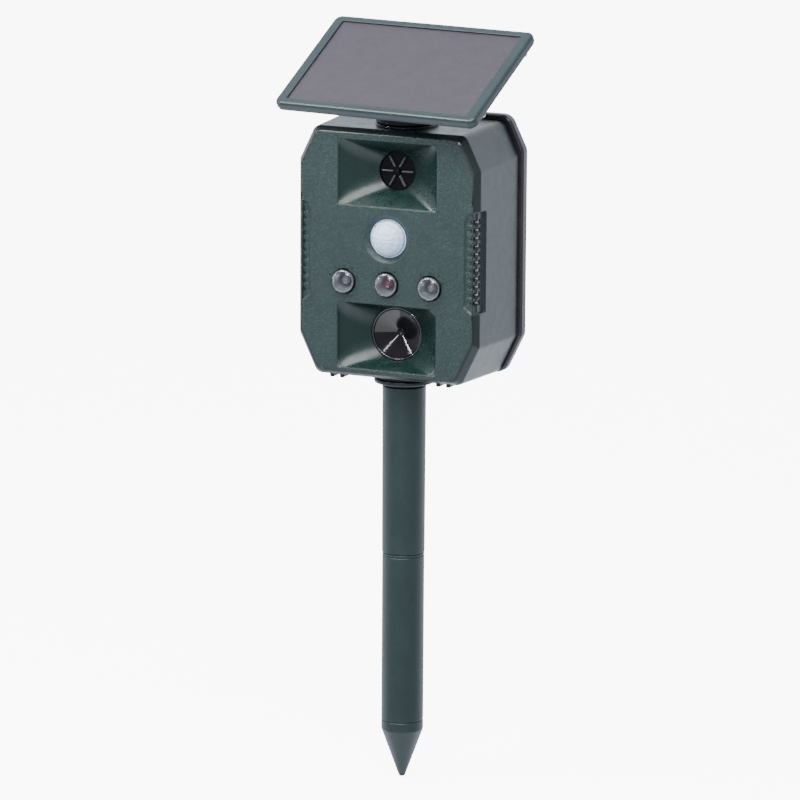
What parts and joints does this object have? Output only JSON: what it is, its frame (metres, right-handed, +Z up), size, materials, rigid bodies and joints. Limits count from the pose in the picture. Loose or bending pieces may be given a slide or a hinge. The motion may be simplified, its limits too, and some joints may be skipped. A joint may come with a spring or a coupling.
{
  "type": "ultrasonic pest repeller",
  "caption": "Garden pest repeller: housing with horn speakers, motion sensor and lights, on a stake, with a swivelling, tilting solar panel on top.",
  "frame": {"origin": "on the stake's axis at the ground line, the top end of the lower tube", "axes": "+Z up along the stake, -Y out of the speaker face, +X to the right of someone facing it"},
  "size_m": [0.1317, 0.0818, 0.4167],
  "materials": {
    "stake_plastic": "satin moulded green plastic",
    "housing_plastic": "fine spark-eroded grain, green",
    "rear_plastic": "satin near-black",
    "seal_rubber": "soft matte black",
    "screw_steel": "zinc-plated",
    "black_plastic": "satin black",
    "gloss_black": "polished black",
    "bright_ring": "thin polished ring",
    "lens_white": "milky translucent, faceted inside",
    "sensor_can": "plated tin",
    "clear_lens": "clear moulded lens",
    "reflector_chrome": "vacuum-plated reflector",
    "led_clear": "water-clear epoxy",
    "led_red": "red-tinted epoxy",
    "board_green": "solder mask over glass laminate",
    "knob_plastic": "satin black",
    "cell_wrap": "shrink-wrapped cell",
    "contact_metal": "nickel-plated spring steel",
    "dark_bolt": "black-oxide steel",
    "panel_plastic": "smooth satin green",
    "solar_film": "matte grey-mauve film behind a clear coat"
  },
  "bodies": {
    "ground_stake": {"lower_tube": "stake_plastic", "spike_tip": "stake_plastic", "tube_coupler": "stake_plastic"},
    "upper_stake": {"upper_tube": "stake_plastic"},
    "head": {"stake_socket": "stake_plastic", "socket_screws": "screw_steel", "front_housing": "housing_plastic", "rear_cover": "rear_plastic", "housing_seal": "seal_rubber", "housing_screws": "screw_steel", "upper_tweeter": "black_plastic", "tweeter_fins": "black_plastic", "lower_tweeter": "black_plastic", "speaker_cone": "gloss_black", "speaker_bezel": "bright_ring", "speaker_screws": "screw_steel", "motion_lens": "lens_white", "motion_sensor": "sensor_can", "led_lens_left": "clear_lens", "led_lens_middle": "clear_lens", "led_lens_right": "clear_lens", "led_reflector_left": "reflector_chrome", "led_reflector_middle": "reflector_chrome", "led_reflector_right": "reflector_chrome", "led_left": "led_clear", "led_middle": "led_red", "led_right": "led_clear", "main_circuit_board": "board_green", "main_board_screws": "screw_steel", "control_board": "board_green", "control_board_screws": "screw_steel", "frequency_potentiometer": "sensor_can", "sensitivity_potentiometer": "sensor_can", "switch_housing": "sensor_can", "charge_socket": "sensor_can", "battery_holder": "black_plastic", "batteries": "cell_wrap", "battery_contacts": "contact_metal", "battery_cover": "rear_plastic", "battery_cover_screws": "screw_steel"},
    "swivel": {"swivel_base": "black_plastic", "swivel_washer": "screw_steel", "swivel_screw": "screw_steel", "hinge_bolt": "dark_bolt", "hinge_nut": "dark_bolt"},
    "panel": {"panel_back": "panel_plastic", "panel_frame": "panel_plastic", "solar_cell": "solar_film", "panel_screws": "screw_steel"},
    "frequency_knob": {"frequency_dial": "knob_plastic"},
    "sensitivity_knob": {"sensitivity_dial": "knob_plastic"},
    "switch_button": {"power_switch": "knob_plastic"},
    "port_flap": {"port_cover": "seal_rubber"}
  },
  "joints": [
    {"name": "upper_stake_pull", "type": "slide", "parent": "ground_stake", "child": "upper_stake", "axis": [0, 0, 1], "range_m": [0, 0.018]},
    {"name": "head_pull", "type": "slide", "parent": "upper_stake", "child": "head", "axis": [0, 0, 1], "range_m": [0, 0.017]},
    {"name": "panel_swivel", "type": "hinge", "parent": "head", "child": "swivel", "pos_m": [0, 0.002, 0.24], "axis": [0, 0, 1], "range_deg": [-90, 90]},
    {"name": "panel_tilt", "type": "hinge", "parent": "swivel", "child": "panel", "pos_m": [0, 0.002, 0.2596], "axis": [0.9921, -0.1253, 0], "range_deg": [-56, 2]},
    {"name": "frequency_turn", "type": "hinge", "parent": "head", "child": "frequency_knob", "pos_m": [-0.024, 0.033, 0.208], "axis": [0, 1, 0], "range_deg": [0, 270]},
    {"name": "sensitivity_turn", "type": "hinge", "parent": "head", "child": "sensitivity_knob", "pos_m": [0.024, 0.033, 0.208], "axis": [0, 1, 0], "range_deg": [0, 270]},
    {"name": "power_slide", "type": "slide", "parent": "head", "child": "switch_button", "axis": [1, 0, 0], "range_m": [0, 0.004]},
    {"name": "port_flap_hinge", "type": "hinge", "parent": "head", "child": "port_flap", "pos_m": [0.013, 0.036, 0.1944], "axis": [1, 0, 0], "range_deg": [0, 120]}
  ]
}
